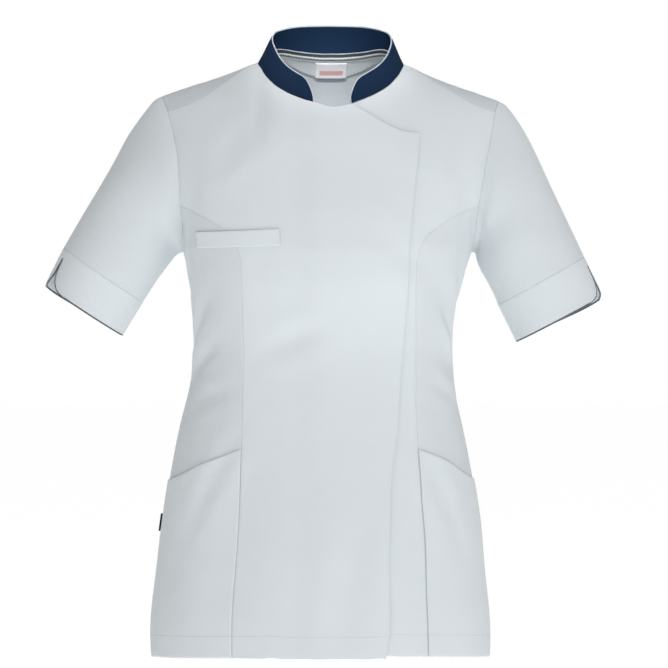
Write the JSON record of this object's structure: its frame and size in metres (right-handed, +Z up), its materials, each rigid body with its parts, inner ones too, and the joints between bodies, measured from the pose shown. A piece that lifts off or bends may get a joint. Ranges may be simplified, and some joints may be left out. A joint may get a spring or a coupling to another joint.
{
  "type": "work tunic",
  "caption": "Short-sleeved work tunic with a stand collar, asymmetric front overlap, princess seams, hip pockets, slit cuffs and side vents, shaped as worn.",
  "frame": {"origin": "between the shoulders, at the height of the neck points, on the middle of the body: where the wearer's shoulders and neck carry the tunic", "axes": "+Z up the body, -Y out of the front, -X towards the wearer's right arm"},
  "size_m": [0.667, 0.2682, 0.763],
  "materials": {
    "white_cloth": "matt twill with a faint sheen",
    "grey_cloth": "matt twill, slightly darker",
    "navy_cloth": "matt dark blue twill",
    "charcoal_tape": "matt woven tape",
    "pale_piping": "satin piping",
    "label_cloth": "smooth woven ribbon"
  },
  "bodies": {
    "root": {"front_right": "white_cloth", "front_left": "white_cloth", "front_side_right": "white_cloth", "front_side_left": "white_cloth", "hip_pocket_right": "white_cloth", "hip_pocket_left": "white_cloth", "chest_welt": "white_cloth", "back": "white_cloth", "yoke": "grey_cloth", "sleeve_right": "white_cloth", "sleeve_left": "white_cloth", "cuff_right": "white_cloth", "cuff_left": "white_cloth", "cuff_edging_right": "charcoal_tape", "cuff_edging_left": "charcoal_tape", "collar": "navy_cloth", "collar_piping": "pale_piping", "neck_tape": "charcoal_tape", "neck_tape_piping": "pale_piping", "neck_facing": "white_cloth", "neck_label": "label_cloth", "flag_tab": "charcoal_tape"}
  },
  "joints": []
}
